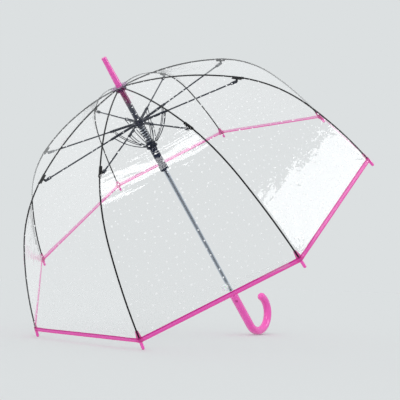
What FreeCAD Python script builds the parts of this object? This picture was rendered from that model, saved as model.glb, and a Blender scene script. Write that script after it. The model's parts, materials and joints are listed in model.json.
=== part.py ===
"""Dome umbrella with a one-piece shaft and a J handle, open and lying on a flat surface.

Every piece is drawn in the umbrella's own frame: the shaft is the Z axis, the tops of the ribs
meet the shaft at Z = 0, the ferrule points up and depths down the shaft are negative Z.
Azimuth 0 is the side of the canopy that faces the ground. At the end each piece is turned and
moved so that two rib tips and the bend of the handle stand on Z = 0.
"""
import math
import os

import FreeCAD, Part

Vector = FreeCAD.Vector

# Canopy frame
rib_count = 8
rib_pitch = 360.0 / rib_count
rib_diameter = 3.0
rib_eye_radius = 1.8
rib_eye_half_width = 1.2
hem_radius = 420.0
hem_depth = 339.0
elbow_radius = 240.0
elbow_depth = 73.0
upper_rib_bow = 12.5
shoulder_radius = 280.0
shoulder_turn = math.radians(30.5)
film_thickness = 0.4
film_gap = 0.8
hem_binding_width = 9.0
hem_binding_thickness = 0.7
hem_binding_gap = 0.1
tip_diameter = 6.0
tip_length = 12.0
tip_bore_depth = 8.0

# Top of the shaft
notch_pivot_radius = 9.0
notch_pivot_depth = 4.0
notch_radius = 12.0
notch_top = -3.0
notch_height = 8.0
notch_slot_width = 3.4
notch_slot_floor = 6.4
ferrule_length = 67.0
ferrule_base_radius = 7.0
ferrule_tip_radius = 5.5
ferrule_tip_length = 14.0
ferrule_socket = 20.0
cap_inner_radius = 8.0
cap_outer_radius = 13.0
cap_bottom = -1.2
cap_thickness = 0.6

# Shaft
shaft_radius = 5.0
shaft_bore = 4.2
shaft_in_handle = 45.0
upper_sleeve_radius = 6.2
upper_sleeve_gap = 0.5
running_clearance = 0.06
pin_clearance = 0.05

# Hub, runner and the rods between them
hub_depth = 89.0
pivot_radius = 11.5
hub_core_radius = 8.8
hub_core_up = 9.0
hub_core_down = 8.0
hub_flange_radius = 14.5
hub_flange_up = 2.6
hub_flange_down = 5.0
hub_slot_width = 4.6
hub_slot_down = 2.8
hub_pin_radius = 0.8
hub_pin_half_length = 3.4
runner_depth = 145.0
runner_crown_radius = 9.3
runner_crown_up = 6.0
runner_crown_down = 8.0
runner_cup_radius = 12.8
runner_cup_down = 4.0
runner_cup_thickness = 2.0
runner_sleeve_radius = 8.6
runner_foot_radius = 9.6
runner_foot_length = 11.0
runner_bottom = 211.0
spring_radius = 8.2
spring_wire = 1.6
stretcher_width = 3.6
stretcher_height = 4.4
stretcher_wall = 0.7
stretcher_rod_radius = 1.6
stretcher_rod_overlap = 2.0
channel_past_pin = 7.0
trough_from_hub = 5.0
trough_from_end = 3.0
link_reach = 54.0
link_pin_radius = 0.8
link_wire_radius = 0.8
link_wire_offset = 2.9
link_half_width = 3.75
link_pin_head = 0.2
link_eye_radius = 1.9
link_bow = 6.0
link_barrel_radius = 1.5

# Elbow joint on each rib
elbow_offset = 9.0
sleeve_radius = 3.2
sleeve_shift = 1.5
sleeve_length = 20.0
sleeve_gap = 1.2
lug_thickness = 2.0
lug_radius = 2.2
lug_overlap = 1.0
elbow_pin_radius = 0.9
elbow_pin_head = 0.5
fork_inner = 1.3
fork_outer = 2.7
fork_radius = 2.4
fork_length = 9.0
fork_block_back = 4.0
fork_block_ahead = 2.5
flex_distance = 12.5
flex_eye_radius = 1.6
flex_eye_width = 2.2
flex_cheek_gap = 0.25
flex_cheek_thickness = 1.0
flex_pin_radius = 0.5
flex_fork_length = 3.0
flex_neck_length = 0.8
flex_neck_half_height = 1.2

# Folded position
folded_elbow_radius = 15.0
folded_tip_radius = 56.0

# Catches, stop ring, handle and button
catch_azimuth = 45.0
catch_thickness = 1.4
catch_reach = 7.3
catch_arm = 24.0
catch_pivot_reach = 1.6
catch_eye_radius = 1.6
catch_pin_radius = 0.7
catch_pin_half_length = 4.1
catch_slot_width = 1.8
catch_slot_above = 0.8
catch_slot_length = 19.8
catch_swing = math.radians(7.5)
catch_groove_width = 2.2
catch_groove_radius = 7.9
upper_catch_top = 211.8
lower_catch_top = 548.5
stop_ring_top = 563.0
stop_ring_radius = 7.0
stop_ring_height = 3.0
handle_top = 579.0
handle_radius = 10.0
handle_straight = 99.0
hook_radius = 44.5
hook_turn = math.radians(203.0)
hook_azimuth = 184.0
button_depth = 592.0
button_radius = 3.0
button_travel = 1.6
button_proud = 0.9
button_thickness = 2.4
button_recess_floor = 6.0
button_spring_radius = 2.4
button_spring_bore = 1.6

DOWN_SHAFT = Vector(0, 0, -1)
TANGENT = Vector(0, 1, 0)


def along(slope):
    """The direction outward and down at a slope below the horizontal, in the plane of azimuth 0."""
    return Vector(math.cos(slope), 0, -math.sin(slope))


def inward(slope):
    """The direction towards the inside of the dome, square to along(slope)."""
    return Vector(-math.sin(slope), 0, -math.cos(slope))


def slope_between(start, end):
    return math.atan2(start.z - end.z, end.x - start.x)


class RibArc:
    """An arc in the plane of azimuth 0 that bends towards the inside of the dome."""

    def __init__(self, start, slope, radius, turn):
        self.start = start
        self.slope = slope
        self.radius = radius
        self.turn = turn
        self.centre = start + inward(slope) * radius

    def point(self, turned):
        return self.centre - inward(self.slope + turned) * self.radius

    def end(self):
        return self.point(self.turn)

    def stretch(self, first, last):
        """The part of the arc between two distances along it."""
        first_turn = first / self.radius
        turn = (last - first) / self.radius
        return RibArc(self.point(first_turn), self.slope + first_turn, self.radius, turn)

    def shifted(self, outward):
        start = self.start - inward(self.slope) * outward
        return RibArc(start, self.slope, self.radius + outward, self.turn)

    def length(self):
        return self.radius * self.turn

    def rod(self, radius):
        circle = Part.makeCircle(radius, self.start, along(self.slope))
        return Part.Face(Part.Wire(circle)).revolve(self.centre, TANGENT, math.degrees(self.turn))

    def edge(self, azimuth):
        edge = Part.Arc(self.start, self.point(self.turn / 2), self.end()).toShape()
        return turned_to(edge, azimuth)


def arc_to(start, slope, end):
    """The arc that leaves start at a slope and ends at end."""
    turn = 2 * (slope_between(start, end) - slope)
    radius = (end - start).Length / (2 * math.sin(turn / 2))
    return RibArc(start, slope, radius, turn)


def turned_to(shape, azimuth):
    """A copy of a shape, turned about the shaft."""
    copy = shape.copy()
    copy.rotate(Vector(0, 0, 0), Vector(0, 0, 1), azimuth)
    return copy


def cylinder(radius, start, end):
    return Part.makeCylinder(radius, (end - start).Length, start, end - start)


def ring(outer, inner, top, bottom):
    """A tube round the shaft between two depths."""
    start = Vector(0, 0, -bottom)
    return Part.makeCylinder(outer, bottom - top, start).cut(Part.makeCylinder(inner, bottom - top, start))


def disc(centre, radius, near, far):
    """A round plate on a tangential axis, between two offsets to the side."""
    return Part.makeCylinder(radius, far - near, centre + TANGENT * near, TANGENT)


def bar(start, end, half_width, above, below):
    """A rectangular bar in the plane of azimuth 0, from start to end."""
    slope = slope_between(start, end)
    up = inward(slope) * -1
    corners = [start + up * above, end + up * above, end - up * below, start - up * below]
    corners = [corner - TANGENT * half_width for corner in corners]
    face = Part.Face(Part.makePolygon(corners + corners[:1]))
    return face.extrude(TANGENT * (2 * half_width))


def joined(shapes):
    return shapes[0].multiFuse(shapes[1:]).removeSplitter()


# Rib outline: notch, elbow, shoulder and hem
notch_pivot = Vector(notch_pivot_radius, 0, -notch_pivot_depth)
elbow = Vector(elbow_radius, 0, -elbow_depth)
hem_corner = Vector(hem_radius, 0, -hem_depth)
upper_chord = (elbow - notch_pivot).Length
upper_turn = 4 * math.atan(2 * upper_rib_bow / upper_chord)
upper_slope = slope_between(notch_pivot, elbow) - upper_turn / 2
elbow_slope = upper_slope + upper_turn
upper_arc = arc_to(notch_pivot, upper_slope, elbow)
shoulder_arc = RibArc(elbow, elbow_slope, shoulder_radius, shoulder_turn)
outer_arc = arc_to(shoulder_arc.end(), elbow_slope + shoulder_turn, hem_corner)
rib_arcs = [upper_arc, shoulder_arc, outer_arc]
hem_slope = outer_arc.slope + outer_arc.turn
tip_end = hem_corner + along(hem_slope) * tip_length

# Pivots of the linkage, open
hub_pivot = Vector(pivot_radius, 0, -hub_depth)
runner_pivot = Vector(pivot_radius, 0, -runner_depth)
elbow_pivot = elbow + inward(elbow_slope) * elbow_offset
flex_pivot = shoulder_arc.point(flex_distance / shoulder_radius)
stretcher_slope = slope_between(hub_pivot, elbow_pivot)
link_pivot = hub_pivot + along(stretcher_slope) * link_reach

# Pivots of the linkage, folded along the shaft
upper_reach = (elbow_pivot - notch_pivot).Length
stretcher_reach = (elbow_pivot - hub_pivot).Length
link_length = (runner_pivot - link_pivot).Length


def below(point, reach, radius):
    """The point at a distance from a point, straight down the shaft to a given radius."""
    drop = math.sqrt(reach ** 2 - (radius - point.x) ** 2)
    return Vector(radius, 0, point.z - drop)


folded_elbow = below(notch_pivot, upper_reach, folded_elbow_radius)
folded_hub = below(folded_elbow, stretcher_reach, pivot_radius)
folded_stretcher_slope = slope_between(folded_hub, folded_elbow)
folded_link = folded_hub + along(folded_stretcher_slope) * link_reach
folded_runner = below(folded_link, link_length, pivot_radius)
hub_travel = hub_pivot.z - folded_hub.z
runner_travel = runner_pivot.z - folded_runner.z
stretcher_swing = folded_stretcher_slope - stretcher_slope
rib_swing = slope_between(notch_pivot, folded_elbow) - slope_between(notch_pivot, elbow_pivot)
link_swing = slope_between(folded_link, folded_runner) - slope_between(link_pivot, runner_pivot)


def folded_flex_pivot():
    """Where the flex point of a rib goes as the rib swings about the notch."""
    arm = flex_pivot - notch_pivot
    slope = slope_between(notch_pivot, flex_pivot) + rib_swing
    return notch_pivot + along(slope) * arm.Length


tip_reach = (tip_end - flex_pivot).Length
folded_tip = below(folded_flex_pivot(), tip_reach, folded_tip_radius)
lower_swing = slope_between(folded_flex_pivot(), folded_tip) - slope_between(flex_pivot, tip_end)


def upper_rib():
    """The rib from the notch to the elbow, with its eye, its elbow sleeve and the flex fork."""
    flex_slope = elbow_slope + flex_distance / shoulder_radius
    sleeve_end = flex_distance - flex_eye_radius - sleeve_gap
    sleeve_stop = elbow + inward(elbow_slope) * sleeve_shift + along(elbow_slope) * sleeve_end
    sleeve_start = sleeve_stop - along(elbow_slope) * sleeve_length
    lug_root = elbow_pivot - inward(elbow_slope) * (elbow_offset - sleeve_shift - lug_overlap)
    elbow_pin_half_length = fork_outer + elbow_pin_head
    cheek_inner = flex_eye_width / 2 + flex_cheek_gap
    cheek_outer = cheek_inner + flex_cheek_thickness
    fork_root = flex_pivot - along(flex_slope) * (flex_eye_radius + flex_fork_length)
    pieces = [
        upper_arc.rod(rib_diameter / 2),
        disc(notch_pivot, rib_eye_radius, -rib_eye_half_width, rib_eye_half_width),
        cylinder(sleeve_radius, sleeve_start, sleeve_stop),
        disc(elbow_pivot, lug_radius, -lug_thickness / 2, lug_thickness / 2),
        bar(lug_root, elbow_pivot, lug_thickness / 2, lug_radius, lug_radius),
        disc(elbow_pivot, elbow_pin_radius, -elbow_pin_half_length, elbow_pin_half_length),
        disc(flex_pivot, flex_pin_radius, -cheek_outer, cheek_outer),
    ]
    for near in (-cheek_outer, cheek_inner):
        pieces.append(disc(flex_pivot, flex_eye_radius, near, near + flex_cheek_thickness))
        cheek = bar(fork_root, flex_pivot, flex_cheek_thickness / 2, flex_eye_radius, flex_eye_radius)
        cheek.translate(TANGENT * (near + flex_cheek_thickness / 2))
        pieces.append(cheek)
    return joined(pieces)


def lower_rib():
    """The rib from the flex point over the shoulder to the plug in its tip."""
    neck_length = flex_eye_radius + flex_neck_length
    neck_end = shoulder_arc.point((flex_distance + neck_length) / shoulder_radius)
    pieces = [
        disc(flex_pivot, flex_eye_radius, -flex_eye_width / 2, flex_eye_width / 2),
        bar(flex_pivot, neck_end, flex_eye_width / 2, flex_neck_half_height, flex_neck_half_height),
        shoulder_arc.stretch(flex_distance + neck_length, shoulder_arc.length()).rod(rib_diameter / 2),
        outer_arc.rod(rib_diameter / 2),
        cylinder(rib_diameter / 2, hem_corner, hem_corner + along(hem_slope) * tip_bore_depth),
    ]
    pin_hole = disc(flex_pivot, flex_pin_radius + pin_clearance, -flex_eye_width, flex_eye_width)
    return joined(pieces).cut(pin_hole)


def rib_tip():
    """The moulded cap on the end of a rib, with a round end and a blind bore."""
    body = cylinder(tip_diameter / 2, hem_corner, tip_end)
    nose = Part.makeSphere(tip_diameter / 2, tip_end)
    bore = cylinder(rib_diameter / 2, hem_corner, hem_corner + along(hem_slope) * tip_bore_depth)
    return joined([body, nose]).cut(bore)


def stretcher():
    """A folded channel from the hub past the link pin, then a rod to the elbow fork."""
    channel_end = link_pivot + along(stretcher_slope) * channel_past_pin
    fork_root = elbow_pivot - along(stretcher_slope) * fork_length
    half = stretcher_height / 2
    channel = bar(hub_pivot, channel_end, stretcher_width / 2, half, half)
    trough_start = hub_pivot + along(stretcher_slope) * trough_from_hub
    trough_end = channel_end - along(stretcher_slope) * trough_from_end
    trough_half_width = stretcher_width / 2 - stretcher_wall
    trough = bar(trough_start, trough_end, trough_half_width, half - stretcher_wall, half + stretcher_wall)
    rod_start = channel_end - along(stretcher_slope) * stretcher_rod_overlap
    block_start = fork_root - along(stretcher_slope) * fork_block_back
    block_end = fork_root + along(stretcher_slope) * fork_block_ahead
    pin_half_length = link_half_width + link_pin_head
    pieces = [
        channel.cut(trough),
        disc(hub_pivot, half, -stretcher_width / 2, stretcher_width / 2),
        disc(link_pivot, link_pin_radius, -pin_half_length, pin_half_length),
        cylinder(stretcher_rod_radius, rod_start, fork_root),
        bar(block_start, block_end, fork_outer, fork_radius, fork_radius),
    ]
    thickness = fork_outer - fork_inner
    for near in (-fork_outer, fork_inner):
        pieces.append(disc(elbow_pivot, fork_radius, near, near + thickness))
        cheek = bar(fork_root, elbow_pivot, thickness / 2, fork_radius, fork_radius)
        cheek.translate(TANGENT * (near + thickness / 2))
        pieces.append(cheek)
    hub_hole = disc(hub_pivot, hub_pin_radius + pin_clearance, -stretcher_width, stretcher_width)
    elbow_hole = disc(elbow_pivot, elbow_pin_radius + pin_clearance, -fork_outer - 1, fork_outer + 1)
    return joined(pieces).cut(hub_hole).cut(elbow_hole)


def link():
    """Two bowed wires from the stretcher pin to a barrel that hooks on the runner."""
    slope = slope_between(link_pivot, runner_pivot)
    turn = 4 * math.atan(2 * link_bow / link_length)
    wire = arc_to(link_pivot, slope - turn / 2, runner_pivot).rod(link_wire_radius)
    pieces = [disc(runner_pivot, link_barrel_radius, -link_half_width, link_half_width)]
    for side in (-1, 1):
        strand = wire.copy()
        strand.translate(TANGENT * (side * link_wire_offset))
        near, far = sorted((side * (2 * link_wire_offset - link_half_width), side * link_half_width))
        pieces += [strand, disc(link_pivot, link_eye_radius, near, far)]
    pin_hole = disc(link_pivot, link_pin_radius + pin_clearance, -2 * link_half_width, 2 * link_half_width)
    return joined(pieces).cut(pin_hole)


def radial_box(width, inner, outer, top, bottom, azimuth):
    """A box that reaches out from the shaft, between two radii and two depths."""
    box = Part.makeBox(outer - inner, width, bottom - top, Vector(inner, -width / 2, -bottom))
    return turned_to(box, azimuth)


def rib_azimuths():
    """The azimuths of the ribs: two ribs stand either side of the side that faces the ground."""
    return [rib_pitch * (index - 0.5) for index in range(rib_count)]


def top_notch():
    """The fixed crown with one slot for each rib."""
    top = -notch_top
    body = ring(notch_radius, shaft_radius, top, top + notch_height)
    slots = [radial_box(notch_slot_width, notch_slot_floor, notch_radius + 1, top - 1,
                        top + notch_height + 1, azimuth) for azimuth in rib_azimuths()]
    return body.cut(Part.makeCompound(slots))


def catch_groove(top, bottom):
    return radial_box(catch_groove_width, shaft_radius - 1, catch_groove_radius, top, bottom, catch_azimuth)


def upper_hub():
    """The sliding hub that carries the inner ends of the stretchers on short pins."""
    bore = shaft_radius + running_clearance
    top = hub_depth - hub_core_up
    bottom = hub_depth + hub_core_down
    core = ring(hub_core_radius, bore, top, bottom)
    flange = ring(hub_flange_radius, bore, hub_depth - hub_flange_up, hub_depth + hub_flange_down)
    slot_top = hub_depth - hub_flange_up - 1
    slots = [radial_box(hub_slot_width, hub_core_radius, hub_flange_radius + 1, slot_top,
                        hub_depth + hub_slot_down, azimuth) for azimuth in rib_azimuths()]
    pin = disc(hub_pivot, hub_pin_radius, -hub_pin_half_length, hub_pin_half_length)
    pins = [turned_to(pin, azimuth) for azimuth in rib_azimuths()]
    body = core.fuse(flange.cut(Part.makeCompound(slots)))
    return joined([body] + pins).cut(catch_groove(top - 1, bottom + 1))


def hub_spring():
    """The space that the compression spring between the hub and the runner takes."""
    return ring(spring_radius, spring_radius - spring_wire, hub_depth + hub_core_down,
                runner_depth - runner_crown_up)


def runner():
    """The sliding runner: a crown that the links hook on, a cup ring, a sleeve and a foot."""
    bore = shaft_radius + running_clearance
    top = runner_depth - runner_crown_up
    crown_bottom = runner_depth + runner_crown_down
    foot_top = runner_bottom - runner_foot_length
    cup_top = runner_depth + runner_cup_down
    pieces = [
        ring(runner_crown_radius, bore, top, crown_bottom),
        ring(runner_cup_radius, bore, cup_top, cup_top + runner_cup_thickness),
        ring(runner_sleeve_radius, bore, crown_bottom, foot_top),
        ring(runner_foot_radius, bore, foot_top, runner_bottom),
    ]
    return joined(pieces).cut(catch_groove(top - 1, runner_bottom + 1))


def catch_pivot(top):
    return Vector(catch_pivot_reach, 0, -top - catch_arm)


def catch(top):
    """A flat catch that stands out of its slot in the shaft and swings in on a pin."""
    half = catch_thickness / 2
    outline = [
        Vector(0.2, -half, -top - catch_arm),
        Vector(0.2, -half, -top - 1.5),
        Vector(3.8, -half, -top),
        Vector(catch_reach, -half, -top - 1.0),
        Vector(catch_reach, -half, -top - 7.0),
        Vector(4.5, -half, -top - 15.0),
        Vector(3.0, -half, -top - catch_arm),
    ]
    plate = Part.Face(Part.makePolygon(outline + outline[:1])).extrude(TANGENT * catch_thickness)
    body = joined([plate, disc(catch_pivot(top), catch_eye_radius, -half, half)])
    hole = disc(catch_pivot(top), catch_pin_radius + pin_clearance, -catch_thickness, catch_thickness)
    return turned_to(body.cut(hole), catch_azimuth)


def shaft_tube():
    """The steel tube, with a slot and a cross pin for each catch."""
    tube = ring(shaft_radius, shaft_bore, -ferrule_socket, handle_top + shaft_in_handle)
    slots, pins = [], []
    for catch_top in (upper_catch_top, lower_catch_top):
        slot_top = catch_top - catch_slot_above
        slots.append(radial_box(catch_slot_width, shaft_bore - 1, shaft_radius + 1, slot_top,
                                slot_top + catch_slot_length, catch_azimuth))
        pin = disc(catch_pivot(catch_top), catch_pin_radius, -catch_pin_half_length, catch_pin_half_length)
        pins.append(turned_to(pin, catch_azimuth))
    return joined([tube.cut(Part.makeCompound(slots))] + pins)


def ferrule():
    """The tapered end piece pushed on the top of the shaft, with a straight tip."""
    base = Vector(0, 0, notch_top)
    taper_end = ferrule_length - ferrule_tip_length
    taper = Part.makeCone(ferrule_base_radius, ferrule_tip_radius, taper_end - notch_top, base)
    tip = cylinder(ferrule_tip_radius, Vector(0, 0, taper_end), Vector(0, 0, ferrule_length))
    socket = cylinder(shaft_radius, base, Vector(0, 0, ferrule_socket))
    return joined([taper, tip]).cut(socket)


def handle():
    """The J handle: a straight grip, a bend and a round end, bored for the shaft."""
    top = Vector(0, 0, -handle_top)
    bend_start = top + DOWN_SHAFT * handle_straight
    circle = Part.Face(Part.Wire(Part.makeCircle(handle_radius, bend_start, DOWN_SHAFT)))
    bend_centre = bend_start + Vector(hook_radius, 0, 0)
    bend = circle.revolve(bend_centre, TANGENT * -1, math.degrees(hook_turn))
    end = bend_centre + Vector(-math.cos(hook_turn), 0, -math.sin(hook_turn)) * hook_radius
    pieces = [cylinder(handle_radius, top, bend_start), bend, Part.makeSphere(handle_radius, end)]
    body = turned_to(joined(pieces), hook_azimuth)
    bore = cylinder(shaft_radius, top, top + DOWN_SHAFT * shaft_in_handle)
    recess_start = Vector(button_recess_floor, 0, -button_depth)
    recess_end = recess_start + Vector(handle_radius, 0, 0)
    recess = cylinder(button_radius + running_clearance, recess_start, recess_end)
    return body.cut(bore).cut(turned_to(recess, catch_azimuth))


def release_button():
    """The round push button in the grip."""
    face = Vector(handle_radius + button_proud, 0, -button_depth)
    return turned_to(cylinder(button_radius, face - Vector(button_thickness, 0, 0), face), catch_azimuth)


def button_spring():
    """The space that the small spring behind the button takes."""
    floor = Vector(button_recess_floor, 0, -button_depth)
    back = Vector(handle_radius + button_proud - button_thickness, 0, -button_depth)
    coil = cylinder(button_spring_radius, floor, back).cut(cylinder(button_spring_bore, floor, back))
    return turned_to(coil, catch_azimuth)


def gore_shell(arcs, gap, thickness):
    """A thin closed skin over the ribs: flat across each gore, curved along each rib."""
    faces = []
    inner = [arc.shifted(gap) for arc in arcs]
    outer = [arc.shifted(gap + thickness) for arc in arcs]
    for azimuth in rib_azimuths():
        beside = azimuth + rib_pitch
        for skin in (inner, outer):
            faces += [Part.makeRuledSurface(arc.edge(azimuth), arc.edge(beside)) for arc in skin]
        for low, high in ((inner[0].start, outer[0].start), (inner[-1].end(), outer[-1].end())):
            ends = ((low, azimuth), (high, azimuth), (high, beside), (low, beside), (low, azimuth))
            faces.append(Part.Face(Part.makePolygon([around(*end) for end in ends])))
    shell = Part.makeCompound(faces)
    shell.sewShape()
    solid = Part.Solid(shell.Shells[0])
    if solid.Volume < 0:
        solid.reverse()
    return solid


def around(point, azimuth):
    angle = math.radians(azimuth)
    return Vector(point.x * math.cos(angle), point.x * math.sin(angle), point.z)


def canopy_film():
    """The clear film, drawn as one skin that clears the ribs."""
    return gore_shell(rib_arcs, rib_diameter / 2 + film_gap, film_thickness)


def hem_binding():
    """The coloured binding along the outside of the hem."""
    band = outer_arc.stretch(outer_arc.length() - hem_binding_width, outer_arc.length())
    film_outside = rib_diameter / 2 + film_gap + film_thickness
    return gore_shell([band], film_outside + hem_binding_gap, hem_binding_thickness)


def single_pieces():
    notch_bottom = notch_height - notch_top
    hub_top = hub_depth - hub_core_up
    return {
        "shaft_tube": shaft_tube(),
        "ferrule": ferrule(),
        "top_notch": top_notch(),
        "canopy_cap": ring(cap_outer_radius, cap_inner_radius, -cap_bottom - cap_thickness, -cap_bottom),
        "canopy_film": canopy_film(),
        "hem_binding": hem_binding(),
        "upper_sleeve": ring(upper_sleeve_radius, shaft_radius, notch_bottom, hub_top - upper_sleeve_gap),
        "upper_hub": upper_hub(),
        "hub_spring": hub_spring(),
        "runner": runner(),
        "upper_catch": catch(upper_catch_top),
        "lower_catch": catch(lower_catch_top),
        "stop_ring": ring(stop_ring_radius, shaft_radius, stop_ring_top, stop_ring_top + stop_ring_height),
        "handle": handle(),
        "release_button": release_button(),
        "button_spring": button_spring(),
    }


def repeated_pieces():
    pieces = {}
    for name, shape in (("upper_rib", upper_rib()), ("lower_rib", lower_rib()), ("rib_tip", rib_tip()),
                        ("stretcher", stretcher()), ("link", link())):
        for number, azimuth in enumerate(rib_azimuths(), 1):
            pieces[f"{name}_{number}"] = turned_to(shape, azimuth)
    return pieces


def height_below(point, tilt):
    """How far a point lies towards the ground, with the shaft at a tilt to the ground."""
    return point.x * math.cos(tilt) - point.z * math.sin(tilt)


def lowest_of_tip(tilt):
    return height_below(around(tip_end, rib_pitch / 2), tilt) + tip_diameter / 2


def lowest_of_handle(tilt):
    bend_centre = Vector(hook_radius, 0, -handle_top - handle_straight)
    steps = 400
    depths = []
    for step in range(steps + 1):
        angle = hook_turn * step / steps
        point = bend_centre + Vector(-math.cos(angle), 0, -math.sin(angle)) * hook_radius
        depths.append(height_below(around(point, hook_azimuth), tilt))
    return max(depths) + handle_radius


def lying_tilt():
    """The tilt of the shaft at which two rib tips and the handle all touch the ground."""
    low, high = math.radians(20), math.radians(80)
    for _ in range(60):
        middle = (low + high) / 2
        if lowest_of_tip(middle) > lowest_of_handle(middle):
            low = middle
        else:
            high = middle
    return low


def lying_placement(tilt):
    """Turns the shaft down to its tilt, with the ferrule towards -X, and stands it on Z = 0."""
    lean = FreeCAD.Rotation(Vector(0, 1, 0), 90 - math.degrees(tilt))
    face_back = FreeCAD.Rotation(Vector(0, 0, 1), 180)
    return FreeCAD.Placement(Vector(0, 0, lowest_of_tip(tilt)), face_back * lean)


def placed(shape, placement):
    """A copy of a shape, moved from the umbrella's own frame to where it lies."""
    return shape.transformed(placement.toMatrix(), True)


pieces = {**single_pieces(), **repeated_pieces()}
placement = lying_placement(lying_tilt())
whole = Part.makeCompound([placed(shape, placement) for shape in pieces.values()])
box = whole.optimalBoundingBox(False)
placement.Base = placement.Base - Vector(box.Center.x, box.Center.y, 0)

for motion, travel in (("hub", hub_travel), ("runner", runner_travel), ("button", button_travel)):
    print(f"{motion} slides {travel:.2f} mm")
for motion, swing in (("stretcher", stretcher_swing), ("rib", rib_swing), ("link", link_swing),
                      ("lower rib", lower_swing), ("catch", catch_swing)):
    print(f"{motion} turns {math.degrees(swing):.2f} degrees")

os.makedirs("parts", exist_ok=True)
for name, shape in pieces.items():
    placed(shape, placement).exportStep(f"parts/{name}.step")
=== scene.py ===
"""Looks of a clear dome umbrella that lies open on its rim and its hooked handle.

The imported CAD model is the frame. Film, hem tape, pockets, closing strap, rosette, stretcher
rungs and springs are built here, in metres, from the same outline as the ribs. Every other piece is the
CAD node with its own material.
"""
import json
import math

import bpy
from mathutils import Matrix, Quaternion, Vector, noise


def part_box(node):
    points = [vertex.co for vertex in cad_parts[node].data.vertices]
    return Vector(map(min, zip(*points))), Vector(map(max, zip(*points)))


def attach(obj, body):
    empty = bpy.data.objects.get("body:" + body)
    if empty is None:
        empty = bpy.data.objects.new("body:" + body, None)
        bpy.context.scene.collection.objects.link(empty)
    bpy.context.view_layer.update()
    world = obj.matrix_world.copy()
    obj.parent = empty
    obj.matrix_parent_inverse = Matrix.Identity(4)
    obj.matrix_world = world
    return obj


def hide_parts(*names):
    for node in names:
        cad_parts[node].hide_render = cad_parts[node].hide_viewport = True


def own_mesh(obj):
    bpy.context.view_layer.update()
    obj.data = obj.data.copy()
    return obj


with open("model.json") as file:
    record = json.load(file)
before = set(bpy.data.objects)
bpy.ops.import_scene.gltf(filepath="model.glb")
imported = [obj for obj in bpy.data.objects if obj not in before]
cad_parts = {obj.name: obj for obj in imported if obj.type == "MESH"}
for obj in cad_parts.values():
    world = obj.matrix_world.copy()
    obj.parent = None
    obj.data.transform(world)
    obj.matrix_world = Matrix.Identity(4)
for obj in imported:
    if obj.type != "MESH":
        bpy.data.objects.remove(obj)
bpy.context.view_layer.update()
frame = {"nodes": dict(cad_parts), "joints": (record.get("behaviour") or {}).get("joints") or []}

# ---------------------------------------------------------------- the umbrella's own frame

RIB_COUNT = 8
RIBS = range(1, RIB_COUNT + 1)
PITCH = 360.0 / RIB_COUNT
HUB_DEPTH = 0.089

joints = {joint["name"]: joint for joint in frame["joints"]}
up = -Vector(joints["hub_slide"]["axis"])
hub_pins = [Vector(joints[f"stretcher_{rib}_hinge"]["pos_m"]) for rib in RIBS]
hub_centre = sum(hub_pins, Vector()) / RIB_COUNT
apex = hub_centre + up * HUB_DEPTH
ground_side = (hub_pins[0] + hub_pins[1] - 2 * hub_centre).normalized()
across = up.cross(ground_side)


def outward(azimuth):
    """The direction away from the shaft at an azimuth in degrees; 0 is the side near the ground."""
    angle = math.radians(azimuth)
    return ground_side * math.cos(angle) + across * math.sin(angle)


def place(radius, depth, azimuth, aside=0.0):
    """A point by its distance from the shaft, its depth below the top and its azimuth."""
    out = outward(azimuth)
    return apex + out * radius - up * depth + up.cross(out) * aside


def rib_azimuth(rib):
    return PITCH * (rib - 1.5)


# ---------------------------------------------------------------- outline of a rib

NOTCH = Vector((0.009, 0.004))
ELBOW = Vector((0.240, 0.073))
HEM = Vector((0.420, 0.339))
UPPER_BOW = 0.0125
SHOULDER_RADIUS = 0.280
SHOULDER_TURN = math.radians(30.5)
FLEX_PAST_ELBOW = 0.0125
FILM_OFF_RIB = 0.0024


def slope_between(start, end):
    return math.atan2(end.y - start.y, end.x - start.x)


class Arc:
    """An arc in (radius, depth) that bends towards the inside of the dome."""

    def __init__(self, start, slope, radius, turn):
        self.slope = slope
        self.radius = radius
        self.length = radius * turn
        self.end_slope = slope + turn
        self.centre = start + self.inward(slope) * radius
        self.end = self.point(self.length, 0.0)

    @staticmethod
    def inward(slope):
        return Vector((-math.sin(slope), math.cos(slope)))

    def point(self, distance, off):
        return self.centre - self.inward(self.slope + distance / self.radius) * (self.radius + off)


def arc_to(start, slope, end):
    turn = 2 * (slope_between(start, end) - slope)
    return Arc(start, slope, (end - start).length / (2 * math.sin(turn / 2)), turn)


upper_turn = 4 * math.atan(2 * UPPER_BOW / (ELBOW - NOTCH).length)
upper_arc = arc_to(NOTCH, slope_between(NOTCH, ELBOW) - upper_turn / 2, ELBOW)
shoulder_arc = Arc(ELBOW, upper_arc.end_slope, SHOULDER_RADIUS, SHOULDER_TURN)
outer_arc = arc_to(shoulder_arc.end, shoulder_arc.end_slope, HEM)
flex_along = upper_arc.length + FLEX_PAST_ELBOW
rib_length = upper_arc.length + shoulder_arc.length + outer_arc.length


def outline(along, off):
    """(radius, depth) at a distance along the rib from the notch, off its centreline."""
    for arc in (upper_arc, shoulder_arc):
        if along <= arc.length:
            return arc.point(along, off)
        along -= arc.length
    return outer_arc.point(along, off)


# ---------------------------------------------------------------- film surface

FILM_SAG = 0.004
CORNER_FOLD = 0.0011
CORNER_REACH = 0.075
CORNER_FOLDS = 9
CORNER_HELD_WITHIN = 0.02
PLEAT = 0.0011
PLEATS_AT = 0.30
PLEATS_REACH = 0.085
PLEATS_PER_METRE = 62
PLEATS_DRAWN_UP = 0.05
CRINKLE = 0.0006
CRINKLES_PER_METRE = 26
GATHER = 0.0022
GATHERS_PER_METRE = 19
GATHER_SIDE, GATHER_SIDE_REACH = 0.86, 0.16
GATHER_BELOW, GATHER_BELOW_REACH = 0.075, 0.05
NORMAL_STEP = 0.0015
NORMAL_SIDE_STEP = 0.004


def chord(along):
    """The width of a gore at a distance along the ribs."""
    return 2 * outline(along, FILM_OFF_RIB).x * math.sin(math.radians(PITCH / 2))


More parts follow.
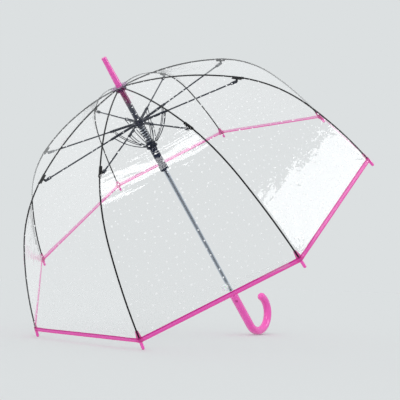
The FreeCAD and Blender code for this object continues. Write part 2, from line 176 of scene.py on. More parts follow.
def bump_window(value, centre, reach):
    """1 at the centre, falling smoothly towards 0; at the reach it is 1/e."""
    return math.exp(-((value - centre) / reach) ** 2)


def film_lift(along, gore, side):
    """How far the film stands off its straight line across a gore; it is held at both ribs.

    The plain factors on gore only make each gore's folds differ.
    """
    gore %= RIB_COUNT
    free = 4 * side * (1 - side)
    share = min(max(along / rib_length, 0.0), 1.0)
    width = chord(along)
    lift = -FILM_SAG * free * math.sin(math.pi * share)
    below = rib_length - along
    for corner, beside in ((0, side * width), (1, (1 - side) * width)):
        reach = math.hypot(below, beside)
        angle = math.atan2(beside, below + 1e-4)
        fold = math.sin(CORNER_FOLDS * angle + gore + 2.1 * corner) * math.exp(-reach / CORNER_REACH)
        lift += CORNER_FOLD * fold * math.sin(math.pi / 2 * min(beside / CORNER_HELD_WITHIN, 1.0))
    held = math.sin(math.pi * side) ** 0.5 * math.sin(math.pi * share) ** 0.5
    drawn_up = PLEATS_DRAWN_UP * (side - 0.5) * math.sin(gore * 2.3)
    pleat_at = Vector((side * 1.6 + gore * 7.3, (along + drawn_up) * PLEATS_PER_METRE, gore * 1.7))
    lift += PLEAT * held * bump_window(along, PLEATS_AT, PLEATS_REACH) * noise.noise(pleat_at)
    gather_at = Vector((side * 2.4 + gore * 5.1, along * GATHERS_PER_METRE, gore * 2.9))
    near_rib = bump_window(side, GATHER_SIDE, GATHER_SIDE_REACH)
    near_rib *= bump_window(below, GATHER_BELOW, GATHER_BELOW_REACH)
    lift += GATHER * near_rib * noise.noise(gather_at) * min(4 * (1 - side), 1.0)
    crinkle_at = Vector((side * width * CRINKLES_PER_METRE, along * CRINKLES_PER_METRE, gore * 3.1))
    lift += CRINKLE * held * noise.noise(crinkle_at)
    return lift


def film_point(along, gore, side, off=0.0):
    """A point of the film, gore being between ribs gore and gore + 1 and side going from 0 to 1."""
    radius, depth = outline(along, FILM_OFF_RIB + off)
    start = place(radius, depth, rib_azimuth(gore))
    end = place(radius, depth, rib_azimuth(gore + 1))
    low = outline(along - 0.001, 0.0)
    high = outline(along + 0.001, 0.0)
    slope = slope_between(low, high)
    middle = outward(rib_azimuth(gore + 0.5))
    normal = (middle * math.sin(slope) + up * math.cos(slope)).normalized()
    return start.lerp(end, side) + normal * film_lift(along, gore, side)


def film_normal(along, gore, side):
    near, far = max(side - NORMAL_SIDE_STEP, 0.0), min(side + NORMAL_SIDE_STEP, 1.0)
    down = film_point(along + NORMAL_STEP, gore, side) - film_point(along - NORMAL_STEP, gore, side)
    beside = film_point(along, gore, far) - film_point(along, gore, near)
    return down.cross(beside).normalized()


def gore_and_side(rib, turned):
    """The gore and the place across it, for a panel centred on a rib; turned goes from -0.5 to 0.5."""
    return (rib - 1, 1 + turned) if turned < 0 else (rib, turned)


# ---------------------------------------------------------------- mesh helpers

def piece(name, vertices, faces, body, material):
    """A mesh object that rides on a body."""
    mesh = bpy.data.meshes.new(name)
    mesh.from_pydata([tuple(v) for v in vertices], [], faces)
    mesh.update()
    mesh.polygons.foreach_set("use_smooth", [True] * len(mesh.polygons))
    obj = bpy.data.objects.new(name, mesh)
    bpy.context.scene.collection.objects.link(obj)
    mesh.materials.append(material)
    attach(obj, body)
    return obj


def grid_faces(rows, columns):
    """Quads of a grid whose vertices run along the columns first."""
    faces = []
    for row in range(rows - 1):
        for column in range(columns - 1):
            first = row * columns + column
            second = first + columns
            faces.append((first, second, second + 1, first + 1))
    return faces


def layered(point, rows, columns, ring=False):
    """A thin closed skin; point(row, column, layer) gives its outside in layer 0 and its inside in 1."""
    vertices = [
        point(row, column, layer)
        for layer in (0, 1) for row in range(rows) for column in range(columns)
    ]
    under = rows * columns
    bottom = (rows - 1) * columns
    faces = []
    for column in range(columns if ring else columns - 1):
        beside = (column + 1) % columns
        for start in range(0, bottom, columns):
            quad = (start + column, start + columns + column, start + columns + beside, start + beside)
            faces.append(quad)
            faces.append(tuple(under + corner for corner in reversed(quad)))
        faces.append((column, beside, under + beside, under + column))
        faces.append((bottom + beside, bottom + column, under + bottom + column, under + bottom + beside))
    if not ring:
        for start in range(0, bottom, columns):
            last = start + columns - 1
            faces.append((start + columns, start, under + start, under + start + columns))
            faces.append((last, last + columns, under + last + columns, under + last))
    return vertices, faces


def spaced(start, end, count):
    return [start + (end - start) * index / (count - 1) for index in range(count)]


def ring_faces(rings, sides):
    """Faces of a row of rings of vertices, closed at both ends."""
    faces = []
    for base in range(0, (rings - 1) * sides, sides):
        for step in range(sides):
            beside = (step + 1) % sides
            faces.append((base + step, base + beside, base + sides + beside, base + sides + step))
    faces.append(tuple(reversed(range(sides))))
    faces.append(tuple(range((rings - 1) * sides, rings * sides)))
    return faces


def tube(points, radius, sides=8):
    """Vertices and faces of a closed round tube along points."""
    vertices = []
    previous = None
    for index, point in enumerate(points):
        ahead = points[min(index + 1, len(points) - 1)] - points[max(index - 1, 0)]
        ahead.normalize()
        reference = previous if previous is not None else ahead.orthogonal()
        first = (reference - ahead * reference.dot(ahead)).normalized()
        previous = first
        second = ahead.cross(first)
        for step in range(sides):
            angle = 2 * math.pi * step / sides
            vertices.append(point + (first * math.cos(angle) + second * math.sin(angle)) * radius)
    return vertices, ring_faces(len(points), sides)


# ---------------------------------------------------------------- materials

class Shader:
    """One node material, built node by node."""

    def __init__(self, name):
        self.material = bpy.data.materials.new(name)
        self.material.use_nodes = True
        self.tree = self.material.node_tree
        self.tree.nodes.clear()

    def add(self, kind, inputs=(), **settings):
        node = self.tree.nodes.new("ShaderNode" + kind)
        for name, value in settings.items():
            setattr(node, name, value)
        for socket, value in dict(inputs).items():
            if isinstance(value, bpy.types.NodeSocket):
                self.tree.links.new(value, node.inputs[socket])
            else:
                node.inputs[socket].default_value = value
        return node

    def math(self, operation, first, second=0.0):
        return self.add("Math", {0: first, 1: second}, operation=operation).outputs[0]

    def ranged(self, value, low, high, out_low, out_high):
        inputs = {"Value": value, "From Min": low, "From Max": high, "To Min": out_low, "To Max": out_high}
        return self.add("MapRange", inputs).outputs["Result"]

    def colours(self, factor, first, second):
        """A mix of two colours, each either three numbers or the output of another node."""
        node = self.add("Mix", {0: factor}, data_type="RGBA")
        for socket, colour in ((node.inputs[6], first), (node.inputs[7], second)):
            if isinstance(colour, tuple):
                socket.default_value = (*colour, 1)
            else:
                self.tree.links.new(colour, socket)
        return node.outputs[2]

    def place(self):
        return self.add("TexCoord").outputs["Object"]

    def noise(self, vector, scale, detail=3.0, roughness=0.5):
        inputs = {"Vector": vector, "Scale": scale, "Detail": detail, "Roughness": roughness}
        return self.add("TexNoise", inputs).outputs["Fac"]

    def stretched(self, vector, scale):
        return self.add("Mapping", {"Vector": vector, "Scale": scale}).outputs["Vector"]

    def bump(self, height, strength, distance):
        inputs = {"Height": height, "Strength": strength, "Distance": distance}
        return self.add("Bump", inputs).outputs["Normal"]

    def finish(self, surface):
        output = self.add("OutputMaterial")
        self.tree.links.new(surface, output.inputs["Surface"])
        return self.material


def moulded(name, light, dark, roughness, coat=0.0, grain=900.0, subsurface=0.0, specular=0.5):
    """Moulded plastic or coated metal: slight colour drift, uneven gloss and a fine skin."""
    s = Shader(name)
    spot = s.place()
    drift = s.noise(spot, 38.0)
    fine = s.noise(spot, grain, 2.0)
    wave = s.noise(spot, 150.0, 1.0)
    height = s.math("ADD", s.math("MULTIPLY", fine, 0.25), wave)
    surface = s.add("BsdfPrincipled", {
        "Base Color": s.colours(drift, dark, light),
        "Roughness": s.ranged(fine, 0.3, 0.7, roughness * 0.8, roughness * 1.25),
        "Specular IOR Level": specular,
        "Coat Weight": coat,
        "Coat Roughness": 0.08,
        "Subsurface Weight": subsurface,
        "Subsurface Radius": (0.004, 0.0015, 0.003),
        "Subsurface Scale": 1.0,
        "Normal": s.bump(height, 0.12, 0.0004),
    })
    return s.finish(surface.outputs[0])


# Pairs say where a change starts and where it ends: in metres from a rib, or for the pleated band from
# its middle. The dots' radii and soft edge are shares of a pattern cell, of which 64 go to a metre.
WELD_HALF_WIDTH = (0.0022, 0.0030)
DOTS_PER_METRE = 64.0
DOT_RADII = (0.065, 0.13)
DOT_EDGE = 0.012
DOTS_CLEAR_OF_RIB = (0.0035, 0.0055)
PLEATED_BAND = (0.04, 0.11)
CREASES = (5.5, 86.0, 1.0)
FILM_ROUGHNESS = 0.055
FILM_HAZE = 0.01
EDGE_GLOSS = 0.7


def clear_film():
    """Clear film: glossy, faintly hazy, welded along the ribs, with small printed white dots."""
    s = Shader("clear_film")
    flat = s.add("UVMap", uv_map="flat").outputs[0]
    to_rib = s.add("SeparateXYZ", {0: s.add("UVMap", uv_map="seam").outputs[0]}).outputs["X"]
    weld = s.ranged(to_rib, *WELD_HALF_WIDTH, 1.0, 0.0)
    dots = s.add("TexVoronoi", {"Vector": flat, "Scale": DOTS_PER_METRE, "Randomness": 0.8},
                 voronoi_dimensions="2D")
    drawn = s.add("SeparateColor", {"Color": dots.outputs["Color"]}).outputs[0]
    size = s.ranged(drawn, 0, 1, *DOT_RADII)
    size = s.math("MULTIPLY", size, s.ranged(to_rib, *DOTS_CLEAR_OF_RIB, 0.0, 1.0))
    inside = s.math("SUBTRACT", size, dots.outputs["Distance"])
    printed = s.ranged(inside, -DOT_EDGE, DOT_EDGE, 0.0, 0.95)
    along = s.add("SeparateXYZ", {0: flat}).outputs["Y"]
    from_band = s.math("ABSOLUTE", s.math("SUBTRACT", along, PLEATS_AT))
    pleated = s.ranged(from_band, *PLEATED_BAND, 1.0, 0.0)
    rippled = s.math("SUBTRACT", 2.2, s.math("MULTIPLY", pleated, 1.3))
    ripple = s.math("MULTIPLY", s.noise(flat, 40.0, 3.0, 0.45), rippled)
    crease = s.noise(s.stretched(flat, CREASES), 1.0, 1.6, 0.5)
    patches = s.ranged(s.noise(flat, 7.0, 2.0), 0.42, 0.62, 0.05, 0.6)
    creased = s.math("ADD", patches, s.math("MULTIPLY", pleated, 1.8))
    height = s.math("ADD", ripple, s.math("MULTIPLY", crease, creased))
    height = s.math("ADD", height, s.math("MULTIPLY", weld, 0.2))
    normal = s.bump(height, 0.35, 0.0016)
    through = s.add("BsdfTransparent", {"Color": (1.0, 0.995, 0.994, 1)})
    haze = s.add("BsdfTranslucent", {"Color": (0.95, 0.95, 0.96, 1), "Normal": normal})
    white = s.add("BsdfDiffuse", {"Color": (0.98, 0.98, 0.98, 1)})
    gloss = s.add("BsdfGlossy", {
        "Color": (1, 1, 1, 1),
        "Roughness": FILM_ROUGHNESS,
        "Normal": normal,
    })
    body = s.add("MixShader", {0: FILM_HAZE, 1: through.outputs[0], 2: haze.outputs[0]})
    dotted_white = s.add("MixShader", {0: 0.3, 1: white.outputs[0], 2: haze.outputs[0]})
    dotted = s.add("MixShader", {0: printed, 1: body.outputs[0], 2: dotted_white.outputs[0]})
    facing = s.add("LayerWeight", {"Blend": 0.5, "Normal": normal}).outputs["Facing"]
    at_edge = s.math("MULTIPLY", s.math("POWER", facing, 5.0), EDGE_GLOSS)
    edged = s.add("MixShader", {0: at_edge, 1: dotted.outputs[0], 2: gloss.outputs[0]})
    faint = s.add("BsdfGlossy", {
        "Color": (0.055, 0.055, 0.056, 1),
        "Roughness": FILM_ROUGHNESS,
        "Normal": normal,
    })
    surface = s.add("AddShader", {0: edged.outputs[0], 1: faint.outputs[0]})
    return s.finish(surface.outputs[0])


SEAM_COLOUR = (0.62, 0.02, 0.27)
SEAM_EDGES = (0.0020, 0.0032)


def thin_colour(name, colour, opacity, opacity_inside, roughness=0.25, seam=False):
    """A coloured translucent film or tape that light shines through, clearer from its inside."""
    s = Shader(name)
    spot = s.place()
    drift = s.noise(spot, 60.0)
    fine = s.noise(spot, 700.0, 2.0)
    tint = s.colours(drift, tuple(0.88 * c for c in colour), colour)
    if seam:
        from_edge = s.add("SeparateXYZ", {0: s.add("UVMap", uv_map="tape").outputs[0]}).outputs["Y"]
        tint = s.colours(s.ranged(from_edge, *SEAM_EDGES, 0.0, 1.0), SEAM_COLOUR, tint)
    normal = s.bump(fine, 0.25, 0.0003)
    front = s.add("BsdfPrincipled", {"Base Color": tint, "Roughness": roughness, "Normal": normal})
    lit = s.add("BsdfTranslucent", {"Color": tint, "Normal": normal})
    inside = s.add("NewGeometry").outputs["Backfacing"]
    paler = tuple(0.4 + 0.6 * c for c in colour)
    clear = s.add("BsdfTransparent", {"Color": s.colours(inside, colour, paler)})
    solid = s.add("MixShader", {0: 0.45, 1: front.outputs[0], 2: lit.outputs[0]})
    share = s.math("ADD", s.math("MULTIPLY", inside, opacity_inside - opacity), opacity)
    opaque = s.math("MULTIPLY", share, s.ranged(drift, 0.3, 0.7, 0.94, 1.0))
    surface = s.add("MixShader", {0: opaque, 1: clear.outputs[0], 2: solid.outputs[0]})
    return s.finish(surface.outputs[0])


def steel(name, colour, roughness):
    """Lacquered drawn steel: fine lines along the shaft and faint handling marks."""
    s = Shader(name)
    spot = s.place()
    depth = s.add("VectorMath", {0: spot, 1: tuple(up)}, operation="DOT_PRODUCT").outputs["Value"]
    beside = s.add("VectorMath", {0: spot, 1: tuple(across)}, operation="DOT_PRODUCT").outputs["Value"]
    lines = s.add("CombineXYZ", {
        "X": s.math("MULTIPLY", beside, 2600.0),
        "Y": s.math("MULTIPLY", depth, 30.0),
    })
    drawn = s.noise(lines.outputs[0], 1.0, 3.0)
    marks = s.noise(spot, 90.0, 4.0, 0.6)
    surface = s.add("BsdfPrincipled", {
        "Base Color": s.colours(marks, tuple(0.8 * c for c in colour), colour),
        "Metallic": 0.8,
        "Roughness": s.ranged(drawn, 0.3, 0.7, roughness * 0.75, roughness * 1.3),
        "Coat Weight": 0.3,
        "Coat Roughness": 0.06,
        "Normal": s.bump(drawn, 0.1, 0.0002),
    })
    return s.finish(surface.outputs[0])


def sleeve_plastic():
    """The glossy sleeve at the top of the shaft, plum at the ferrule and navy towards the hub."""
    s = Shader("plum_sleeve")
    spot = s.place()
    height = s.add("VectorMath", {0: spot, 1: tuple(up)}, operation="DOT_PRODUCT").outputs["Value"]
    top = apex.dot(up)
    fade = s.ranged(height, top - 0.05, top - 0.028, 0.0, 1.0)
    fine = s.noise(spot, 700.0, 2.0)
    surface = s.add("BsdfPrincipled", {
        "Base Color": s.colours(fade, (0.004, 0.009, 0.034), (0.17, 0.012, 0.075)),
        "Roughness": s.ranged(fine, 0.3, 0.7, 0.16, 0.28),
        "Coat Weight": 0.4,
        "Coat Roughness": 0.05,
        "Normal": s.bump(fine, 0.1, 0.0003),
    })
    return s.finish(surface.outputs[0])


def floor_paper(radiance, overhead):
    """Matt pale paper whose lit colour is the same as the backdrop's."""
    s = Shader("pale_paper")
    colour = tuple(level / (level + overhead) for level in radiance)
    surface = s.add("BsdfDiffuse", {"Color": (*colour, 1)})
    return s.finish(surface.outputs[0])


pink_plastic = moulded("pink_plastic", (0.97, 0.14, 0.56), (0.92, 0.12, 0.51),
                       roughness=0.2, coat=0.4, subsurface=0.12)
navy_plastic = moulded("navy_plastic", (0.003, 0.009, 0.036), (0.002, 0.006, 0.026),
                       roughness=0.2, coat=0.12, specular=0.2)
plum_plastic = moulded("plum_plastic", (0.66, 0.07, 0.34), (0.58, 0.06, 0.29),
                       roughness=0.3, coat=0.2)
rib_rod = moulded("rib_rod", (0.003, 0.003, 0.004), (0.002, 0.002, 0.003),
                  roughness=0.32, grain=1600.0, specular=0.1)
dark_steel = moulded("dark_steel", (0.003, 0.009, 0.028), (0.002, 0.006, 0.019),
                     roughness=0.26, coat=0.06, grain=1200.0, specular=0.15)
spring_steel = moulded("spring_steel", (0.007, 0.011, 0.030), (0.005, 0.007, 0.020),
                       roughness=0.22, coat=0.1, grain=1400.0, specular=0.25)
white_rubber = moulded("white_rubber", (0.88, 0.89, 0.9), (0.8, 0.82, 0.84),
                       roughness=0.4, subsurface=0.3)
shaft_metal = steel("shaft_metal", (0.66, 0.73, 0.82), roughness=0.24)
plum_sleeve = sleeve_plastic()
film_material = clear_film()
# Rosette film: partly the cap's own lilac tint, partly a painted highlight that makes the ribs under it look
# faded.
lilac_film = thin_colour("lilac_film", (0.84, 0.74, 0.86), opacity=0.5, opacity_inside=0.3)
tape_material = thin_colour("pink_tape", (0.97, 0.15, 0.58), opacity=0.9, opacity_inside=0.2,
                            roughness=0.16, seam=True)
pocket_material = thin_colour("pink_pocket", (0.92, 0.26, 0.60), opacity=0.6, opacity_inside=0.3)
strap_film = thin_colour("clear_strap", (0.98, 0.98, 0.98), opacity=0.22, opacity_inside=0.22,
                         roughness=0.1)

NODE_MATERIALS = {
    "shaft_tube": shaft_metal,
    "ferrule": pink_plastic,
    "top_notch": navy_plastic,
    "upper_sleeve": plum_sleeve,
    "upper_hub": navy_plastic,
    "runner": navy_plastic,
    "upper_catch": dark_steel,
    "lower_catch": dark_steel,
    "stop_ring": white_rubber,
    "handle": pink_plastic,
    "release_button": plum_plastic,
    "upper_rib": rib_rod,
    "lower_rib": rib_rod,
    "rib_tip": pink_plastic,
    "stretcher": dark_steel,
    "link": dark_steel,
}


def dress_cad_nodes():
    for name, obj in frame["nodes"].items():
        family = name.rstrip("0123456789").rstrip("_")
        if family in NODE_MATERIALS:
            obj.data.materials.clear()
            obj.data.materials.append(NODE_MATERIALS[family])


# ---------------------------------------------------------------- canopy

HALF_COLUMNS = 20
UPPER_ROWS = 46
LOWER_ROWS = 62
PATTERN_SHIFT = 0.6
AREA_STEPS = 40


def folds_with_rib(obj):
    """Gives the piece its own copy of its mesh."""
    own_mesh(obj)


def film_panel(rib, name, body, start, end, rows):
    """The film of one rib, from the middle of one gore to the middle of the next."""
    columns = 2 * HALF_COLUMNS + 1
    turns = spaced(-0.5, 0.5, columns)
    vertices, normals = [], []
    alongs = spaced(start, end, rows)
    for along in alongs:
        for turned in turns:
            gore, side = gore_and_side(rib, turned)
            vertices.append(film_point(along, gore, side))
            if turned == 0:
                beside = film_normal(along, rib - 1, 1.0)
                normals.append((film_normal(along, rib, 0.0) + beside).normalized())
            else:
                normals.append(film_normal(along, gore, side))
    obj = piece(name, vertices, grid_faces(rows, columns), body, film_material)
    mesh = obj.data
    flat = mesh.uv_layers.new(name="flat")
    seam = mesh.uv_layers.new(name="seam")
    for loop in mesh.loops:
        row, column = divmod(loop.vertex_index, columns)
        left = loop.index // 4 % (columns - 1) < HALF_COLUMNS
        turned = turns[column]
        gore = rib - 1 if left else rib
        side = 1 + turned if left else turned
        across_gore = (side - 0.5) * chord(alongs[row])
        flat.data[loop.index].uv = (across_gore + PATTERN_SHIFT * (gore % RIB_COUNT), alongs[row])
        seam.data[loop.index].uv = (abs(turned) * chord(alongs[row]), alongs[row])
    mesh.normals_split_custom_set_from_vertices([tuple(n) for n in normals])
    obj.visible_shadow = False
    obj.visible_diffuse = False
    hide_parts("canopy_film")
    folds_with_rib(obj)
    return obj


def declare_film(start, end, pieces_on_it=()):
    """The panel's flat cut is as wide as a gore at its lower end and tapers towards the top."""
    steps = spaced(start, end, 2 * AREA_STEPS + 1)[1::2]
    area = sum(chord(along) for along in steps) * (end - start) / AREA_STEPS
    chord(end)


def canopy():
    for rib in RIBS:
        upper_body, lower_body = f"upper_rib_{rib}", f"lower_rib_{rib}"
        upper = film_panel(rib, f"film_upper_{rib}", upper_body, 0.0, flex_along, UPPER_ROWS)
        lower = film_panel(rib, f"film_lower_{rib}", lower_body, flex_along, rib_length, LOWER_ROWS)
        declare_film(0.0, flex_along)
        declare_film(flex_along, rib_length, [hem_tape(rib), pocket(rib)])


# ---------------------------------------------------------------- hem tape and pockets

TAPE_WIDTH = 0.0085
TAPE_LIP = 0.0024
TAPE_PAST_HEM = 0.0008
TAPE_THICKNESS = 0.0011


def tape_section():
    """(distance past the hem, offset from the film) over the folded tape, whose inner lip is the narrower."""
    half = TAPE_THICKNESS / 2
    outer = [(-TAPE_WIDTH * share, half) for share in (1.0, 0.75, 0.5, 0.25)]
    fold = [(TAPE_PAST_HEM * 0.4, half), (TAPE_PAST_HEM, 0.0), (TAPE_PAST_HEM * 0.4, -half)]
    lip = [(-TAPE_LIP * share, -half) for share in (0.4, 0.7, 1.0)]
    return outer + fold + lip


def hem_tape(rib):
    """The tape folded over the hem, from the middle of one gore to the middle of the next."""
    columns = 2 * HALF_COLUMNS + 1
    section = tape_section()
    vertices = []
    for past, off in section:
        for turned in spaced(-0.5, 0.5, columns):
            gore, side = gore_and_side(rib, turned)
            vertices.append(film_point(rib_length + past, gore, side, off))
    faces = grid_faces(len(section), columns)
    obj = piece(f"hem_tape_{rib}", vertices, faces, f"lower_rib_{rib}", tape_material)
    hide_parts("hem_binding")
    from_edge = [0.0]
    for before, after in zip(section, section[1:]):
        from_edge.append(from_edge[-1] + math.dist(before, after))
    tape = obj.data.uv_layers.new(name="tape")
    for loop in obj.data.loops:
        row, column = divmod(loop.vertex_index, columns)
        tape.data[loop.index].uv = (column / columns, from_edge[row])
    folds_with_rib(obj)
    return obj


POCKET_LENGTH = 0.021
POCKET_ABOVE_HEM = 0.0004
POCKET_TOP_HALF_WIDTH = 0.0034
POCKET_FLARE = 0.0056
POCKET_OFF_FILM = 0.0004
POCKET_DEPTH = 0.0044
POCKET_SKIN = 0.0003


def pocket(rib):
    """The small clear pink pocket inside a hem corner that takes the end of the rib."""
    rows, columns = 9, 13

    def point(row, column, layer):
        share = row / (rows - 1)
        along = rib_length - POCKET_LENGTH * (1 - share) - POCKET_ABOVE_HEM
        half = POCKET_TOP_HALF_WIDTH + POCKET_FLARE * share ** 1.4
        aside = half * (2 * column / (columns - 1) - 1)
        gore, side = gore_and_side(rib, aside / chord(along))
        arch = math.cos(math.pi / 2 * aside / half) ** 0.7 if abs(aside) < half * 0.999 else 0.0
        off = -POCKET_OFF_FILM - POCKET_DEPTH * arch - POCKET_SKIN * layer
        return film_point(along, gore, side, off)

    vertices, faces = layered(point, rows, columns)
    obj = piece(f"rib_pocket_{rib}", vertices, faces, f"lower_rib_{rib}", pocket_material)
    folds_with_rib(obj)
    return obj


# ---------------------------------------------------------------- closing strap

STRAP_GORE = 2
STRAP_RIB = 3
STRAP_LENGTH = 0.128
STRAP_WIDTH = 0.014
STRAP_OFF_FILM = 0.0017
STRAP_ROOT_SIDE = 0.93
STRAP_DROOP = 0.013
STRAP_WAVE = 0.0006
STUD_SHARE = 0.93
STUD_RADIUS = 0.0052
STUD_HEIGHT = 0.0016
STUD_SIDES = 24
STUD_PROFILE = ((1.0, 0.0), (1.0, 0.6), (0.88, 1.0), (0.5, 1.0), (0.4, 0.7))


def strap_point(share, aside):
    """A point of the strap, share going from its root at the hem to its free end."""
    side = STRAP_ROOT_SIDE - share * STRAP_LENGTH / chord(rib_length)
    below = TAPE_WIDTH + STRAP_DROOP * share
    wave = STRAP_WAVE * math.sin(9 * share)
    return film_point(rib_length - below - aside, STRAP_GORE, side, STRAP_OFF_FILM + wave)


def stud(name, centre, axis):
    """One half of a press stud: a low disc with a dished face."""
    first = axis.orthogonal().normalized()
    second = axis.cross(first)
    vertices = []
    for reach, height in STUD_PROFILE:
        for step in range(STUD_SIDES):
            angle = 2 * math.pi * step / STUD_SIDES
            spoke = first * math.cos(angle) + second * math.sin(angle)
            vertices.append(centre + spoke * (STUD_RADIUS * reach) + axis * (STUD_HEIGHT * height))
    faces = ring_faces(len(STUD_PROFILE), STUD_SIDES)
    obj = piece(name, vertices, faces, f"lower_rib_{STRAP_RIB}", white_rubber)
    folds_with_rib(obj)
    return obj


def closing_strap():
    """The clear strap welded inside the hem, lying free along the film, with its press stud."""
    columns, rows = 41, 9
    shares = spaced(0.0, 1.0, columns)
    round_end = STRAP_WIDTH / 2 / STRAP_LENGTH
    vertices = []
    for row in range(rows):
        for share in shares:
            past = max(share - (1 - round_end), 0.0) / round_end
            half = STRAP_WIDTH / 2 * math.sqrt(max(1 - past * past, 0.02))
            vertices.append(strap_point(share, half * (1 - 2 * row / (rows - 1))))
    faces = grid_faces(rows, columns)
    obj = piece("closing_strap", vertices, faces, f"lower_rib_{STRAP_RIB}", strap_film)
    folds_with_rib(obj)
    step = 0.01
    centre = strap_point(STUD_SHARE, 0.0)
    upward = strap_point(STUD_SHARE, -step) - centre
    onward = strap_point(STUD_SHARE + step, 0.0) - centre
    axis = upward.cross(onward).normalized()
    if axis.dot(outward(rib_azimuth(STRAP_GORE + 0.5))) < 0:
        axis = -axis
    stud("strap_stud", centre, axis)


# ---------------------------------------------------------------- rosette at the top

ROSETTE_INNER = -0.0016
ROSETTE_BETWEEN_PETALS = 0.003
ROSETTE_PETAL = 0.008
ROSETTE_OFF_FILM = 0.0011
ROSETTE_CURL = 0.0014
ROSETTE_THICKNESS = 0.0004


def rosette():
    """A scalloped washer of lilac film over the top of the canopy, one petal on each gore; its pale film is
    partly the cap's own tint and partly a painted highlight that fades the ribs under it.
    """
    steps, rows = 12, 8

    def point(row, column, layer):
        gore = 1 + column // steps
        side = (column % steps) / steps
        edge = ROSETTE_BETWEEN_PETALS + ROSETTE_PETAL * math.sin(math.pi * side) ** 0.6
        share = row / (rows - 1)
        along = ROSETTE_INNER + (edge - ROSETTE_INNER) * share
        off = ROSETTE_OFF_FILM + ROSETTE_CURL * share ** 3 - ROSETTE_THICKNESS * layer
        return film_point(along, gore, side, off)

    vertices, faces = layered(point, rows, RIB_COUNT * steps, ring=True)
    obj = piece("rosette", vertices, faces, "shaft", lilac_film)
    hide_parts("canopy_cap")
    reach = outline(ROSETTE_BETWEEN_PETALS + ROSETTE_PETAL, FILM_OFF_RIB).x


# ---------------------------------------------------------------- pressed rungs on the stretchers

RUNG_COUNT = 11
RUNG_FIRST = 0.009
RUNG_LAST = 0.051
RUNG_RADIUS = 0.00055
CHANNEL_HALF_HEIGHT = 0.0022
CHANNEL_HALF_WIDTH = 0.0018
RUNG_POINTS = (-0.92, -0.5, 0.0, 0.5, 0.92)


def stretcher_rungs(rib):
    """Small ridges pressed across the channel of a stretcher near the hub."""
    hub_pin = hub_pins[rib - 1]
    link_pin = Vector(joints[f"link_{rib}_hinge"]["pos_m"])
    along = (link_pin - hub_pin).normalized()
    aside = up.cross(outward(rib_azimuth(rib)))
    above = aside.cross(along)
    if above.dot(up) < 0:
        above = -above
    vertices, faces = [], []
    for reach in spaced(RUNG_FIRST, RUNG_LAST, RUNG_COUNT):
        middle = hub_pin + along * reach + above * CHANNEL_HALF_HEIGHT
        line = [middle + aside * (CHANNEL_HALF_WIDTH * share) for share in RUNG_POINTS]
        rung, sides = tube(line, RUNG_RADIUS)
        faces += [tuple(len(vertices) + corner for corner in face) for face in sides]
        vertices += rung
    piece(f"stretcher_rungs_{rib}", vertices, faces, f"stretcher_{rib}", dark_steel)


# ---------------------------------------------------------------- springs

HUB_COIL_WIRE = 0.0011
HUB_COIL_RADIUS = 0.0074
HUB_COIL_TURNS = 7.5
HUB_BOTTOM = HUB_DEPTH + 0.008
RUNNER_TOP = 0.139
BUTTON_ROOM = 0.0025
BUTTON_COIL_WIRE = 0.00025
BUTTON_COIL_RADIUS = 0.002
BUTTON_COIL_TURNS = 2.0
COIL_FLAT_SHARE = 0.06


def helix(centre, axis, radius, length, turns, per_turn=24):
    """Points of a coil from centre along axis; each end lies flat for a share of its turns."""
    first = axis.orthogonal().normalized()
    second = axis.cross(first)
    count = int(turns * per_turn)
    points = []
    for index in range(count + 1):
        share = index / count
        angle = 2 * math.pi * turns * share
        rise = min(max((share - COIL_FLAT_SHARE) / (1 - 2 * COIL_FLAT_SHARE), 0.0), 1.0)
        spoke = first * math.cos(angle) + second * math.sin(angle)
        points.append(centre + axis * (length * rise) + spoke * radius)
    return points


def hub_spring():
    """The coil between hub and runner."""
    length = RUNNER_TOP - HUB_BOTTOM - 2 * HUB_COIL_WIRE
    start = apex - up * (HUB_BOTTOM + HUB_COIL_WIRE)
    coil = helix(start, -up, HUB_COIL_RADIUS, length, HUB_COIL_TURNS)
    vertices, faces = tube(coil, HUB_COIL_WIRE)
    obj = piece("hub_spring_coil", vertices, faces, "hub", spring_steel)
    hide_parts("hub_spring")
    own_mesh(obj)


def button_spring():
    """The small coil behind the button, from the floor of its recess to the back of the button."""
    low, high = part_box("button_spring")
    axis = -Vector(joints["button_press"]["axis"])
    start = (low + high) / 2 - axis * (BUTTON_ROOM / 2)
    length = BUTTON_ROOM - 4 * BUTTON_COIL_WIRE
    first = start + axis * (2 * BUTTON_COIL_WIRE)
    coil = helix(first, axis, BUTTON_COIL_RADIUS, length, BUTTON_COIL_TURNS, per_turn=16)
    vertices, faces = tube(coil, BUTTON_COIL_WIRE, sides=6)
    obj = piece("button_spring_coil", vertices, faces, "shaft", spring_steel)
    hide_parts("button_spring")
    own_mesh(obj)


# ---------------------------------------------------------------- floor, backdrop and light

BACKDROP = (0.716, 0.745, 0.753)
STUDIO_DARK = (0.13, 0.135, 0.14)
STAGE_DIRECTION = 42.75
STUDIO_FADE = (-0.35, 0.25)
OVERHEAD = 0.26
OVERHEAD_LEAN = 42
OVERHEAD_AZIMUTH = -150
OVERHEAD_SPREAD = 60
FLOOR_SIZE = 120.0
SOFTBOX_DISTANCE = 2.2


def studio_colour(tree):
    """What gloss reflects: the pale backdrop on one side of the stage and the dim studio on the other."""
    ray = tree.nodes.new("ShaderNodeTexCoord")
    facing = tree.nodes.new("ShaderNodeVectorMath")
    facing.operation = "DOT_PRODUCT"
    facing.inputs[1].default_value = direction(STAGE_DIRECTION, 0)
    tree.links.new(ray.outputs["Generated"], facing.inputs[0])
    share = tree.nodes.new("ShaderNodeMapRange")
    share.inputs["From Min"].default_value = STUDIO_FADE[0]
    share.inputs["From Max"].default_value = STUDIO_FADE[1]
    tree.links.new(facing.outputs["Value"], share.inputs["Value"])
    mixed = tree.nodes.new("ShaderNodeMix")
    mixed.data_type = "RGBA"
    tree.links.new(share.outputs["Result"], mixed.inputs[0])
    mixed.inputs[6].default_value = (*STUDIO_DARK, 1)
    mixed.inputs[7].default_value = (*BACKDROP, 1)
    return mixed.outputs[2]


